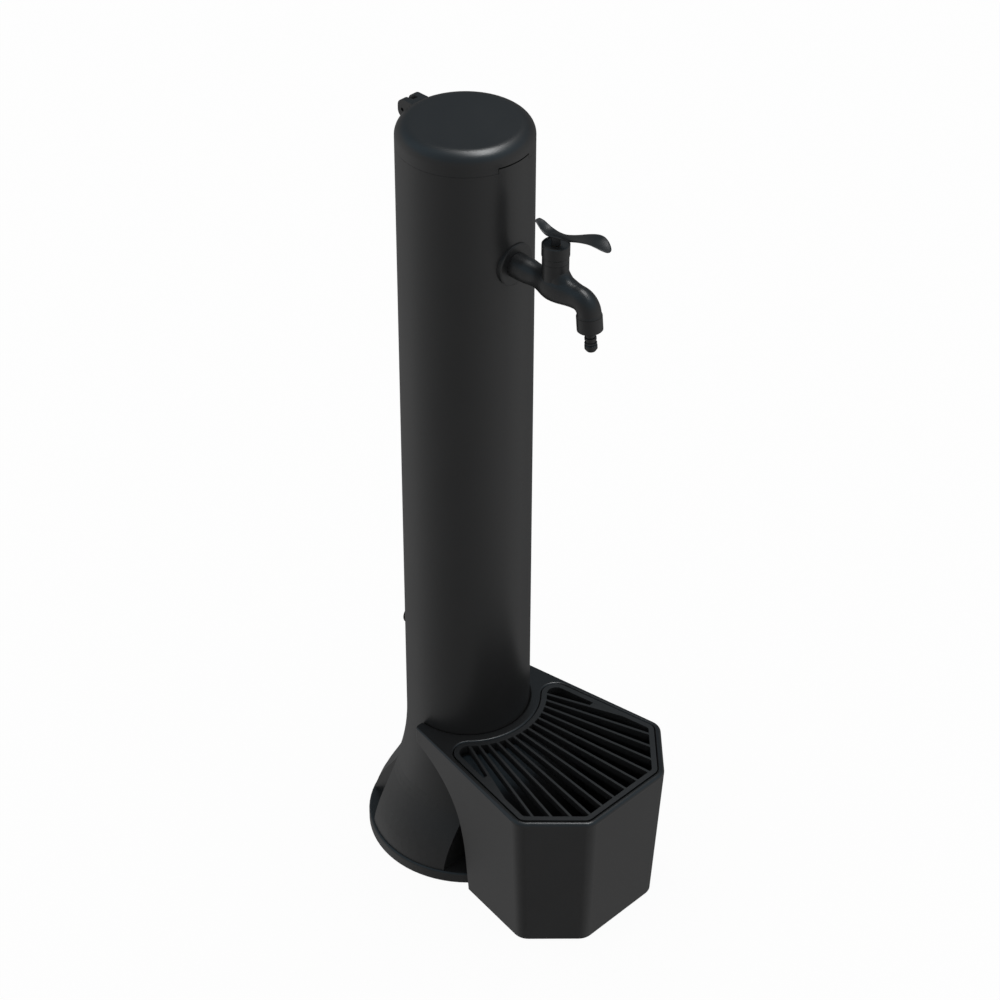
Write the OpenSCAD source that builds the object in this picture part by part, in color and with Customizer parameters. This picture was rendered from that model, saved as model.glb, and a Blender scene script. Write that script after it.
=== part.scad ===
// Free-standing garden fountain: a hollow column with a hinged lid, a quarter-turn bib tap,
// the pipework inside the column, and a drip bucket with a lift-out grate.
// Origin on the ground at the column's axis, +Z up, tap and bucket towards -Y.

/* [Column] */
// Outer diameter of the column
column_d = 150; // [140:1:160]
// Height of the column's rim above the ground
column_h = 968; // [920:1:1050]
// Wall thickness of the column and its foot
column_wall = 4; // [3:0.5:5]
// Height of the raised tongue at the front of the rim
tongue_h = 3.8; // [2:0.1:5]
// Width of the finger notch, as an angle round the column
notch_angle = 35; // [20:1:50]

/* [Foot] */
// Diameter of the disc that stands on the ground
disc_d = 251.4; // [245:1:280]
// Height of the disc
disc_h = 15; // [12:1:20]
// Radius of the disc's upper edge
disc_edge_r = 3; // [1:0.5:5]
// Width of the disc's ledge round the flare
disc_ledge = 8.2; // [6:0.2:12]
// Angle of the flare's straight cone away from plumb
flare_angle = 20.8; // [18:0.2:24]
// Radius of the arc that runs the flare into the column
flare_arc_r = 325; // [250:5:380]
// Spacing of the ground anchors, the same both ways
anchor_pitch = 150; // [144:1:156]
// Distance from each anchor to the walls of its pocket
anchor_inset = 13; // [11:0.5:15]
// Diameter of each ground anchor hole
anchor_hole_d = 8.5; // [6:0.5:10]

/* [Lid] */
// Height of the lid over the rim
lid_h = 26; // [22:1:34]
// Wall thickness of the lid
lid_wall = 3; // [2:0.5:4]
// Radius of the lid's upper edge
lid_edge_r = 16; // [8:1:18]
// Height of the finger notch cut into the lid's skirt
notch_h = 6.5; // [5:0.5:9]
// Depth of the lid's locating collar inside the column
collar_h = 5; // [3:0.5:7]
// Distance of the hinge pin behind the column's surface
hinge_out = 8; // [8:0.5:10]
// Height of the hinge pin above the rim
hinge_up = 11; // [10:0.5:12]
// Diameter of the hinge pin
hinge_pin_d = 4; // [3:0.5:5]
// Width of the column's hinge knuckle
knuckle_w = 7.4; // [6:0.2:9]
// Width of each ear on the lid
ear_w = 8; // [6:0.5:10]

/* [Bucket] */
// Height of the bucket
bucket_h = 200; // [170:1:240]
// Wall thickness of the bucket
bucket_wall = 3.2; // [2.5:0.1:4]
// Width of each horn beside the column
horn_w = 11.2; // [9:0.2:13]
// Half width of the bucket's mouth where the front chamfer begins
flank_x = 123.9; // [115:0.5:130]
// Distance of that corner in front of the column's axis
flank_y = 204.1; // [195:0.5:210]
// Half width of the bucket's flat front
front_x = 62.7; // [55:0.5:70]
// Distance of the flat front from the column's axis
front_y = 266.2; // [255:0.5:280]
// Inward draft of the wide corners from mouth to floor
draft_side = 10.7; // [4:0.1:14]
// Inward draft of the front from mouth to floor
draft_front = 9.9; // [4:0.1:14]
// Inward draft at the horns
draft_horn = 5.7; // [2:0.1:6]
// Radius of the bucket's upright corners
bucket_corner_r = 20; // [14:1:26]
// Gap between the column and the bucket's curved mouth
mouth_gap = 2.4; // [2:0.2:6]
// Gap between the foot's disc and the bucket's back near the ground
foot_gap = 12.6; // [8:0.2:16]
// Depth of the lip over the curved back
lip_h = 16; // [14:1:20]
// Width of the bucket's rim along its sides and front
rim_w = 7.5; // [6:0.5:9]
// Width of the rim round the column
rim_back_w = 11.3; // [8:0.1:13]
// Width of the ledge under the grate
ledge_w = 4; // [3:0.5:6]

/* [Grate] */
// Depth of the grate
grate_h = 9; // [6:0.5:10]
// Gap between the grate and the bucket's rim
grate_gap = 1; // [0.5:0.1:1.5]
// Width of the grate's frame
grate_frame_w = 6.4; // [5:0.2:9]
// Width of each bar
bar_w = 3; // [2:0.2:4]
// Number of bars, an even number
bar_count = 14; // [10:2:16]
// Angle between two bars
bar_angle = 3.3; // [3:0.1:3.5]
// Distance behind the column's axis of the point where the bars would meet
bar_origin_y = 100; // [80:5:120]

/* [Tap] */
// Depth of the tap's inlet axis below the column's rim
tap_drop = 118; // [90:1:180]
// Distance of the tap's upright axis from the column's surface
stem_out = 58.5; // [56:0.5:64]
// Diameter of the rosette on the column
rosette_d = 49; // [44:1:56]
// Thickness of the rosette at the column's front
rosette_t = 2; // [1.5:0.5:4]
// Diameter of the tap's inlet barrel
barrel_d = 28.6; // [27:0.2:30]
// Diameter of the tap's waist behind the stem
waist_d = 25.4; // [24:0.2:27]
// Diameter of the tap's belly under the stem
belly_d = 35; // [33:0.2:37]
// Diameter of the spout
spout_d = 26.2; // [25:0.2:27.4]
// Length of the spout from the stem to the start of the bend
spout_len = 35.2; // [34:0.2:42]
// Radius of the spout's bend
bend_r = 14.2; // [13.8:0.2:17]
// Angle of the outlet away from plumb
outlet_tilt = 5.5; // [0:0.5:8]
// Diameter of the upright neck
neck_d = 29; // [28:0.2:30]
// Diameter of the bonnet's cap
cap_d = 30.4; // [29.6:0.2:32]
// Height of the joint between neck and bonnet over the inlet axis
neck_h = 30; // [28:0.5:34]
// Height of the bonnet
bonnet_h = 21.8; // [18:0.2:26]
// Depth of the recess in the bonnet's top
cup_depth = 1.5; // [1:0.5:6]
// Width of the rim round that recess
cup_wall = 1.6; // [1.2:0.1:2]
// Diameter of the lever's stem
stem_d = 10; // [9:0.2:11]
// Height of the lever's datum over the bonnet
lever_up = 8.7; // [8:0.1:14]
// Diameter of the waterway
bore_d = 12; // [10:0.5:12]
// Outer diameter of the pipe threads
thread_d = 20.8; // [20:0.1:21]

/* [Hose connector] */
// Diameter of the connector's nut
nut_d = 28.2; // [27:0.2:29.4]
// Length of the connector's nut
nut_len = 17.8; // [17:0.2:22]
// Length of the nipple below the nut
nipple_len = 24.8; // [23:0.2:30]
// Diameter of the nipple's neck
nipple_neck_d = 10.4; // [9.6:0.1:11]
// Diameter of the nipple's end ring
nipple_ring_d = 14; // [12.6:0.1:14.6]

/* [Pipework] */
// Height of the supply inlet at the back
inlet_h = 270; // [260:1:300]
// Outer diameter of the supply inlet's thread
inlet_thread_d = 26.4; // [24:0.1:28]
// Length of the supply inlet's thread
inlet_thread_len = 16; // [12:1:20]
// Length of the tap's inner elbow from its socket to the hose's axis
elbow_len = 18; // [16:0.5:20]
// Outer diameter of the inner hose
hose_d = 13; // [12:0.5:14]
// Bore of the inner hose
hose_bore_d = 8; // [6:0.5:9]
// Straight length of the inner hose between its bend and the lower ferrule
hose_straight = 7.2; // [4:0.2:12]

/* [Hidden] */
$fn = 96;

column_r = column_d / 2;
bore_r = column_r - column_wall;
seam = 0.3;
slip = 0.05;
fit = 0.1;
through = 60;
over = 1;
tint = [0.16, 0.17, 0.18];
dark = [0.1, 0.1, 0.11];
metal = [0.72, 0.6, 0.36];
steel = [0.65, 0.66, 0.68];
seal = [0.07, 0.07, 0.07];
ceramic = [0.92, 0.91, 0.88];

// Hinge
pin_y = column_r + hinge_out;
pin_z = column_h + hinge_up;
pin_r = hinge_pin_d / 2;
knuckle_r = hinge_out - 0.4;
knuckle_drop = 34;
knuckle_root = 2;
pin_recess = 3;
ear_reach = 7;
ear_top = 12;
ear_drop = 10.2;
ear_round = 8.6;
ear_root = 7.2;
ear_root_t = 4;
collar_gap = 0.8;
collar_t = 2;
collar_land = 2.5;
root = 0.2;
tongue_gap = 0.4;

// Flare: a cone that runs into the column on one arc
flare_d = disc_d - 2 * disc_ledge;
cone_top_r = column_r + flare_arc_r * (1 - cos(flare_angle));
cone_top_h = disc_h + (flare_d / 2 - cone_top_r) / tan(flare_angle);
flare_top = cone_top_h + flare_arc_r * sin(flare_angle);
flare_steps = 8;
pocket_x = anchor_pitch / 2 - anchor_inset;
anchor_boss_r = anchor_hole_d / 2 + 4.5;
foot_ring_t = 2.5;
foot_rib_t = 3;
foot_rib_count = 8;

// Bucket plan, counter-clockwise from the front right corner
mouth_r = column_r + mouth_gap;
horn_x = mouth_r + horn_w;
back_r = disc_d / 2 + foot_gap;
horn_y = 2;
inner_edge = 1;
horn_round = bucket_wall + 1.3;
mouth_plan = [
    [front_x, -front_y], [flank_x, -flank_y], [horn_x, horn_y],
    [-horn_x, horn_y], [-flank_x, -flank_y], [-front_x, -front_y]
];
flank_draft_y = 3.2;
front_draft_x = 5;
floor_plan = [
    [front_x - front_draft_x, -front_y + draft_front],
    [flank_x - draft_side, -flank_y + flank_draft_y],
    [horn_x - draft_horn, horn_y],
    [-horn_x + draft_horn, horn_y],
    [-flank_x + draft_side, -flank_y + flank_draft_y],
    [-front_x + front_draft_x, -front_y + draft_front]
];
plan_round = [bucket_corner_r, bucket_corner_r, horn_round, horn_round, bucket_corner_r, bucket_corner_r];
floor_t = 4;
floor_edge = 2.5;
rim_edge = 1.2;
back_wall = 4;
back_straight = 60;
back_rise = 75;
lip_reach = 34.6;
lip_drop = 29;
lip_edge = 2.6;
back_steps = 14;
grate_sink = 0.2;
seat_z = bucket_h - grate_h - seam - grate_sink;
lip_z = bucket_h - lip_h;
ledge_z = seat_z - ledge_w;
tray_round = 19;

// Tap
tap_h = column_h - tap_drop;
stem_y = column_r + stem_out;
waist_out = 33;
barrel_len = 13;
body_start = rosette_t + seam;
rosette_root = 8;
rosette_edge_h = 0.8;
rosette_edge_w = 1.5;
bend_out = stem_out + spout_len;
outlet_angle = 90 - outlet_tilt;
outlet_y = column_r + bend_out + bend_r * sin(outlet_angle);
outlet_z = tap_h - bend_r * (1 - cos(outlet_angle));
outlet_neck = 2;
outlet_thread_len = 12;
thread_r = thread_d / 2;
sweep_r = neck_h - 1;
sweep_tube_r = spout_d / 2 - 0.3;
passage_r = 4;
passage_drop = 8;
passage_y = 9.5;
outlet_start = 6.5;
neck_z = tap_h + neck_h;
bonnet_z = neck_z + seam;
bonnet_top = neck_z + bonnet_h;
cup_floor = bonnet_top - cup_depth;
seat_plane = tap_h;
chamber_r = 10;
seal_t = 2.5;
disc_t = 3.5;
disc_r = 8;
cage_r = chamber_r - fit;
cage_window = 7;
cage_window_h = 5;
port_in = 1.5;
port_out = 2;
port_w = 5.2;
disc_bottom = seat_plane + seal_t;
turn_bottom = disc_bottom + disc_t;
drive_z = turn_bottom + disc_t;
drive_r = disc_r - 0.6;
spigot_z = drive_z + 7;
spindle_r = 5;
spindle_top_r = 3.5;
o_ring_r = 0.6;
o_ring_groove = 1.6;
o_ring_start = 4;
o_ring_step = 5;
bonnet_edge_h = 1;
bonnet_edge_w = 0.8;
bonnet_foot_h = 6.5;
lever_z = bonnet_top + lever_up;
stem_low = cup_floor + seam;
spindle_top = lever_z - 4;
grub_z = bonnet_top + 3;
o_ring_heights = [spigot_z + o_ring_start, spigot_z + o_ring_start + o_ring_step];
grub_r = 1.5;
grub_sink = 0.3;
grub_len = stem_d / 2 - spindle_top_r - fit - grub_sink;
grub_key = 1.5;

// Hose connector, its nipple measured back from its open end
nut_edge = 1;
connector_washer_t = 1.8;
connector_play = 0.2;
connector_seat = outlet_neck + outlet_thread_len + connector_play;
nipple_wall = 1.8;
nipple_neck_r = nipple_neck_d / 2;
nipple_ring_r = nipple_ring_d / 2;
ring_start = 7;
ring_end = 3;
groove_start = 11;
groove_end = 8.4;
collar_start = 16.4;
collar_end = 13.6;
collar_drop = 0.5;
nipple_body_r = nipple_neck_r + 0.2;
nipple_collar_r = nipple_ring_r - collar_drop;
groove_r = nipple_body_r - 0.8;
connector_o_ring_r = 1.1;

// Wall joints of the tap and of the supply inlet
pad_r = 20;
pad_t = 5;
pad_face = bore_r - pad_t;
wall_hole_r = thread_r + 0.35;
wall_hole_len = column_wall + pad_t + 2 * over;
washer_t = 2;
lock_nut_t = 6.5;
lock_nut_af = 30;
shank_out = 13.5;
inlet_shank_in = pad_face - lock_nut_t - shank_out;
shank_in = column_r - inlet_shank_in;
gasket_t = 2;
inlet_hex_t = 6;
elbow_r = thread_r + 3.2;
elbow_leg_r = thread_r + 1.6;
elbow_leg = 24;
elbow_socket_start = pad_face - washer_t - lock_nut_t - 1.5;
elbow_drop = 38;
elbow_end_z = tap_h - elbow_drop;
hose_y = elbow_socket_start - elbow_len;

// Hose ends, measured from the open end of the ferrule
ferrule_len = 17;
ferrule_r = hose_d / 2 + 1.7;
ferrule_flange_t = 3;
ferrule_flange_r = thread_r - 0.8;
hose_washer_t = 1.5;
hose_nut_low = ferrule_len - 3;
hose_nut_high = 30;
hose_nut_af = thread_d + 3.2;
hose_end_len = ferrule_len + ferrule_flange_t + hose_washer_t;
upper_end_z = elbow_end_z - hose_end_len - seam;
lower_end_y = inlet_shank_in - hose_end_len - seam;
hose_overlap = ferrule_len - 0.5;
bend_start_y = lower_end_y - hose_straight;
hose_bend_r = hose_y + bend_start_y;

function unit(v) = v / norm(v);
function left_of(a, b) = let (d = unit(b - a)) [-d[1], d[0]];
function mix(a, b, t) = a + (b - a) * t;
function ease(a, b, t) = a + (b - a) * (1 - cos(180 * t)) / 2;
function bezier(p, t) =
    pow(1 - t, 3) * p[0] + 3 * t * pow(1 - t, 2) * p[1] + 3 * t * t * (1 - t) * p[2] + pow(t, 3) * p[3];
function arc_points(c, r, from, to, n) =
    [for (i = [0:n]) c + r * [cos(mix(from, to, i / n)), sin(mix(from, to, i / n))]];
// Point inside the corner at b that lies r from both of its edges
function corner_centre(a, b, c, r) =
    let (m = left_of(a, b), n = left_of(b, c)) b + r * (m + n) / (1 + m * n);
function corner_arc(a, b, c, r, n) =
    let (
        m = left_of(a, b),
        k = left_of(b, c),
        turn = atan2(m[0] * k[1] - m[1] * k[0], m * k),
        s = sign(turn),
        start = atan2(-s * m[1], -s * m[0])
    )
    arc_points(corner_centre(a, b, c, s * r), r, start, start + turn, n);
function around(list, i) = list[(i + len(list)) % len(list)];
// Direction straight out of the edge from a to b
function out_angle(a, b) = let (n = -left_of(a, b)) atan2(n[1], n[0]);
function mirrored(pts) = [for (i = [len(pts) - 1:-1:0]) [-pts[i][0], pts[i][1]]];
function hex_r(across_flats) = across_flats / 2 / cos(30);

// Half of the column's section from the ground to a height, moved inwards by the wall
function flare_r(i) = column_r + flare_arc_r * (1 - cos(flare_angle * (1 - i / flare_steps)));
function flare_z(i) = flare_top - flare_arc_r * sin(flare_angle * (1 - i / flare_steps));
function flare_points(inset) = [for (i = [0:flare_steps]) [flare_r(i) - inset, flare_z(i)]];

// Centres of the bucket's corner circles at a height
function plan_centres(plan) =
    [for (i = [0:5]) corner_centre(around(plan, i - 1), plan[i], around(plan, i + 1), plan_round[i])];
mouth_centres = plan_centres(mouth_plan);
floor_centres = plan_centres(floor_plan);

// Outline of the grate's seat, set in from the mouth
front_angle = out_angle(mouth_plan[0], mouth_plan[1]);
flank_angle = out_angle(mouth_plan[1], mouth_plan[2]);
flank_normal = -left_of(mouth_plan[1], mouth_plan[2]);
flank_line = unit(mouth_plan[1] - mouth_plan[2]);
function tray_back_r(inset) = mouth_r + rim_back_w + inset - rim_w;
function tray_corner_r(inset) = tray_round + rim_w - inset;
function tray_corner(inset) =
    let (q = tray_corner_r(inset), d = mouth_plan[2] * flank_normal - inset - q, far = tray_back_r(inset) + q)
    d * flank_normal + sqrt(far * far - d * d) * flank_line;
function tray_side(inset, join) = concat(
    arc_points(mouth_centres[0], bucket_corner_r - inset, -90, front_angle, 6),
    arc_points(mouth_centres[1], bucket_corner_r - inset, front_angle, flank_angle, 6),
    arc_points(tray_corner(inset), tray_corner_r(inset), flank_angle, join + 180, 10)
);
function tray_outline(inset) =
    let (c = tray_corner(inset), join = atan2(c[1], c[0]), side = tray_side(inset, join))
    concat(side, arc_points([0, 0], tray_back_r(inset), join, -180 - join, 24), mirrored(side));

// Section of the space that the column and its foot need behind the bucket
back_curve = [
    [back_r, back_straight], [back_r, back_straight + back_rise],
    [mouth_r + lip_reach, lip_z - lip_drop], [mouth_r + lip_edge, lip_z]
];
function back_points(grow) = [for (i = [0:back_steps]) bezier(back_curve, i / back_steps) + [grow, 0]];

// Tap body's radius from the rosette to the bend
function tap_profile() = concat(
    [[body_start, barrel_d / 2], [body_start + barrel_len, barrel_d / 2]],
    [for (i = [1:6]) [mix(body_start + barrel_len, waist_out, i / 6), ease(barrel_d, waist_d, i / 6) / 2]],
    [for (i = [1:8]) [mix(waist_out, stem_out, i / 8), ease(waist_d, belly_d, i / 8) / 2]],
    [for (i = [1:8]) [mix(stem_out, bend_out, i / 8), ease(belly_d, spout_d, i / 8) / 2]]
);

// Lever stations: distance in front of the stem, height, half width, half thickness, dish
lever_stations = [
    [-28, 8.4, 0.6, 0.4, 0], [-27, 8.3, 3.8, 0.7, 0.2], [-22, 6.8, 5.6, 0.9, 0.8], [-15, 3, 6.9, 1.2, 1.4],
    [-7, 0.8, 7.4, 1.6, 0.8], [2, 1.3, 5.8, 2.2, 0], [12, 3.3, 5.2, 2.3, 0], [24, 7.3, 8, 2.1, 0.6],
    [36, 12.8, 10.5, 1.7, 1.8], [46, 16.7, 12, 1.4, 2.4], [56, 18.8, 11.7, 1.2, 2.4], [64, 17.7, 9.9, 1.1, 1.8],
    [70, 15.6, 7.2, 1, 1], [74.4, 13.6, 3.8, 0.7, 0.3], [75.6, 13, 0.6, 0.4, 0]
];
lever_rim = 0.7;
lever_fine = 4;
lever_sides = 16;
function spline(a, b, c, d, t) =
    0.5 * (2 * b + (c - a) * t + (2 * a - 5 * b + 4 * c - d) * t * t + (3 * b - a - 3 * c + d) * t * t * t);
function clamped(list, i) = list[max(0, min(len(list) - 1, i))];
function lever_rings() = [
    for (i = [0:len(lever_stations) - 2], k = [0:lever_fine - 1])
    spline(clamped(lever_stations, i - 1), lever_stations[i], lever_stations[i + 1],
        clamped(lever_stations, i + 2), k / lever_fine),
    lever_stations[len(lever_stations) - 1]
];

// One ring of the lever: a flattened oval, dished between its edges
function lever_ring(s) = [
    for (k = [0:lever_sides - 1])
    let (a = 360 * k / lever_sides, lift = sign(sin(a)) * pow(abs(sin(a)), lever_rim))
    [s[2] * cos(a), -s[0], s[1] + s[3] * lift - s[4] * sin(a) * sin(a)]
];

// The two triangles between side k, its neighbour n and the next ring
function lever_facets(a, k, n) =
    [[a + k, a + lever_sides + k, a + lever_sides + n], [a + k, a + lever_sides + n, a + n]];

// Places local +Z along the tap, out of the column's front, with local +Y up
module from_front(z = 0) translate([0, -column_r, z]) rotate([90, 0, 0]) children();
// Places local +Z from the column's axis towards its front, and towards its back
module from_axis_front(y = 0, z = 0) translate([0, -y, z]) rotate([90, 0, 0]) children();
module from_axis_back(y = 0, z = 0) translate([0, y, z]) rotate([-90, 0, 0]) children();
// Places local +Z down the outlet
module at_outlet() translate([0, -outlet_y, outlet_z]) rotate([180 - outlet_tilt, 0, 0]) children();
module ring(r_out, r_in, h) difference() {
    cylinder(r = r_out, h = h);
    translate([0, 0, -over]) cylinder(r = r_in, h = h + 2 * over);
}
// Disc from the origin up, with a chamfer round its upper edge
module chamfered(r, h, edge_w, edge_h) rotate_extrude()
    polygon([[0, 0], [r, 0], [r, h - edge_h], [r - edge_w, h], [0, h]]);
module torus(r, tube) rotate_extrude() translate([r, 0]) circle(r = tube, $fn = 24);
module hex(across_flats, h) cylinder(r = hex_r(across_flats), h = h, $fn = 6);
module hex_nut(across_flats, r_in, h) difference() {
    hex(across_flats, h);
    translate([0, 0, -over]) cylinder(r = r_in, h = h + 2 * over);
}
module slab(x, y, z) translate([x[0], y[0], z[0]]) cube([x[1] - x[0], y[1] - y[0], z[1] - z[0]]);

module column_skin() rotate_extrude($fn = 180) polygon(concat(
    [[0, 0], [disc_d / 2 - 1, 0], [disc_d / 2, 1]],
    arc_points([disc_d / 2 - disc_edge_r, disc_h - disc_edge_r], disc_edge_r, 0, 90, 5),
    [[flare_d / 2, disc_h]],
    flare_points(0),
    [[column_r, column_h], [0, column_h]]
));
module column_hollow() rotate_extrude($fn = 180) polygon(concat(
    [[0, -over], [flare_d / 2 - column_wall, -over], [flare_d / 2 - column_wall, disc_h - column_wall]],
    flare_points(column_wall),
    [[bore_r, column_h + tongue_h + over], [0, column_h + tongue_h + over]]
));
module pocket(grow, low) for (sx = [-1, 1], sy = [-1, 1])
    slab([sx > 0 ? pocket_x - grow : -disc_d, sx > 0 ? disc_d : grow - pocket_x],
        [sy > 0 ? pocket_x - grow : -disc_d, sy > 0 ? disc_d : grow - pocket_x], [low, flare_top]);
module disc_groove() difference() {
    translate([0, 0, -over])
        ring(disc_d / 2 - column_wall, flare_d / 2 - column_wall + foot_ring_t, disc_h - column_wall + over);
    for (i = [0:foot_rib_count - 1]) rotate((i + 0.5) * 360 / foot_rib_count)
        slab([0, disc_d], [-foot_rib_t / 2, foot_rib_t / 2], [-2 * over, disc_h]);
}
module anchors(r, low, high) for (sx = [-1, 1], sy = [-1, 1])
    translate([sx * anchor_pitch / 2, sy * anchor_pitch / 2, low]) cylinder(r = r, h = high - low);
module notch_sector(half, low, high) translate([0, 0, low]) linear_extrude(high - low)
    polygon([[0, 0], 2 * column_r * [-sin(half), -cos(half)], 2 * column_r * [sin(half), -cos(half)]]);
module rim_tongue() intersection() {
    translate([0, 0, column_h - over]) ring(column_r, bore_r, tongue_h + over);
    notch_sector(notch_angle / 2 - tongue_gap, column_h - over, column_h + tongue_h);
}
module knuckle() difference() {
    translate([-knuckle_w / 2, 0, 0]) rotate([90, 0, 90]) linear_extrude(knuckle_w) polygon(concat(
        [[column_r - knuckle_root, column_h - knuckle_drop], [column_r, column_h - knuckle_drop]],
        arc_points([pin_y, pin_z], knuckle_r, -20, 180, 20),
        [[pin_y - knuckle_r, column_h - seam], [column_r - knuckle_root, column_h - seam]]
    ));
    translate([-knuckle_w, pin_y, pin_z]) rotate([0, 90, 0]) cylinder(r = pin_r + slip, h = 2 * knuckle_w);
}
module column() color(tint) {
    difference() {
        union() {
            difference() {
                column_skin();
                pocket(0, disc_h);
                difference() {
                    column_hollow();
                    pocket(column_wall, disc_h - column_wall);
                }
                disc_groove();
            }
            intersection() {
                anchors(anchor_boss_r, 0, disc_h - column_wall / 2);
                translate([0, 0, -over]) cylinder(r = disc_d / 2 - disc_edge_r, h = disc_h + over);
            }
            rim_tongue();
            knuckle();
            intersection() {
                union() {
                    from_axis_front(pad_face, tap_h) cylinder(r = pad_r, h = pad_t + over);
                    from_axis_back(pad_face, inlet_h) cylinder(r = pad_r, h = pad_t + over);
                }
                cylinder(r = column_r - over, h = column_h);
            }
        }
        anchors(anchor_hole_d / 2, -over, disc_h + over);
        from_axis_front(pad_face - over, tap_h) cylinder(r = wall_hole_r, h = wall_hole_len);
        from_axis_back(pad_face - over, inlet_h) cylinder(r = wall_hole_r, h = wall_hole_len);
    }
}

function lid_section(inset, low) = concat(
    [[0, low], [column_r - inset, low]],
    arc_points([column_r - lid_edge_r, column_h + lid_h - lid_edge_r], lid_edge_r - inset, 0, 90, 12),
    [[0, column_h + lid_h - inset]]
);
module ear_block() translate([-knuckle_w / 2 - seam - ear_w, 0, 0]) rotate([90, 0, 90])
    linear_extrude(knuckle_w + 2 * seam + 2 * ear_w) polygon(concat(
        [[column_r - lid_wall, pin_z - ear_drop]],
        corner_arc([column_r - lid_wall, pin_z - ear_drop], [pin_y + ear_reach, pin_z - ear_drop],
            [pin_y + ear_reach, pin_z + ear_top], ear_round, 6),
        corner_arc([pin_y + ear_reach, pin_z - ear_drop], [pin_y + ear_reach, pin_z + ear_top],
            [column_r - lid_wall, pin_z + ear_top], ear_round, 6),
        [[column_r - ear_root, pin_z + ear_top], [column_r - ear_root, pin_z + ear_top - ear_root_t]]
    ));
module lid() color(tint) difference() {
    union() {
        difference() {
            union() {
                rotate_extrude($fn = 180) polygon(lid_section(0, column_h + seam));
                difference() {
                    ear_block();
                    slab([-knuckle_w / 2 - seam, knuckle_w / 2 + seam], [column_r, pin_y + 2 * ear_reach],
                        [column_h, column_h + 2 * lid_h]);
                }
            }
            rotate_extrude($fn = 180) polygon(lid_section(lid_wall, column_h - over));
        }
        translate([0, 0, column_h - collar_h])
            ring(bore_r - collar_gap, bore_r - collar_gap - collar_t, collar_h + lid_h / 2);
        translate([0, 0, column_h + seam])
            ring(column_r - lid_wall + root, bore_r - collar_gap - collar_t, collar_land);
    }
    difference() {
        notch_sector(notch_angle / 2, column_h - over, column_h + notch_h);
        cylinder(r = bore_r - collar_gap, h = 2 * column_h);
    }
    translate([-2 * ear_w - knuckle_w, pin_y, pin_z]) rotate([0, 90, 0])
        cylinder(r = pin_r + slip, h = 4 * ear_w + 2 * knuckle_w);
}
module lid_hinge_pin() color(steel) translate([pin_recess - knuckle_w / 2 - ear_w, pin_y, pin_z])
    rotate([0, 90, 0]) cylinder(r = pin_r, h = knuckle_w + 2 * (ear_w - pin_recess));

// Corner discs of the bucket's plan at a height, whose hull is the plan; they taper by the chamfers
module plan_level(inset, z, h, low_chamfer = 0, high_chamfer = 0) for (i = [0:5]) {
    c = mix(floor_centres[i], mouth_centres[i], z / bucket_h);
    r = plan_round[i] - inset;
    translate([c[0], c[1], z]) cylinder(r1 = r - low_chamfer, r2 = r - high_chamfer, h = h, $fn = 40);
}
module back_space(grow) rotate_extrude($fn = 180) polygon(concat(
    [[0, -over], [back_r + grow, -over]], back_points(grow),
    [[mouth_r + grow, lip_z], [mouth_r + grow, bucket_h + over], [0, bucket_h + over]]
));
module bucket() color(dark) difference() {
    hull() {
        plan_level(0, 0, floor_edge, low_chamfer = floor_edge);
        plan_level(0, bucket_h - rim_edge, rim_edge, high_chamfer = rim_edge);
    }
    back_space(0);
    difference() {
        hull() {
            plan_level(bucket_wall, floor_t, inner_edge, low_chamfer = inner_edge);
            plan_level(bucket_wall, ledge_z - ledge_w - over, over);
        }
        back_space(back_wall);
    }
    translate([0, 0, seat_z]) linear_extrude(bucket_h) polygon(tray_outline(rim_w));
    translate([0, 0, ledge_z - ledge_w - over]) linear_extrude(bucket_h) polygon(tray_outline(rim_w + ledge_w));
}
module bars(reach) for (i = [0:bar_count - 1])
    translate([0, bar_origin_y, 0]) rotate((i - (bar_count - 1) / 2) * bar_angle)
        slab([-bar_w / 2, bar_w / 2], [-reach, 0], [0, grate_h]);
module grate() color(dark) translate([0, 0, seat_z + seam]) {
    difference() {
        linear_extrude(grate_h) polygon(tray_outline(rim_w + grate_gap));
        translate([0, 0, -over]) linear_extrude(grate_h + 2 * over)
            polygon(tray_outline(rim_w + grate_gap + grate_frame_w));
    }
    intersection() {
        linear_extrude(grate_h) polygon(tray_outline(rim_w + grate_gap + grate_frame_w / 2));
        bars(2 * front_y);
    }
}

module spout_bend(r) translate([0, -column_r - bend_out, tap_h - bend_r]) rotate([0, -90, 180])
    rotate_extrude(angle = outlet_angle) translate([bend_r, 0]) circle(r = r);
module waterway() {
    from_front(tap_h) translate([0, 0, -shank_in - over])
        cylinder(r = bore_d / 2, h = shank_in + stem_out - passage_y + over);
    translate([0, -stem_y, tap_h - passage_drop]) {
        translate([0, passage_y, 0]) cylinder(r = bore_d / 2 - over, h = passage_drop);
        translate([0, passage_y, 0]) rotate([90, 0, 0]) cylinder(r = passage_r, h = passage_y);
        cylinder(r = passage_r, h = passage_drop + over);
    }
    translate([0, -stem_y, seat_plane]) cylinder(r = chamber_r, h = neck_h + over);
    from_front(tap_h) translate([0, 0, stem_out + outlet_start])
        cylinder(r = bore_d / 2, h = spout_len - outlet_start);
    spout_bend(bore_d / 2 - slip);
    at_outlet() cylinder(r = bore_d / 2 - 2 * slip, h = through);
}
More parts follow.
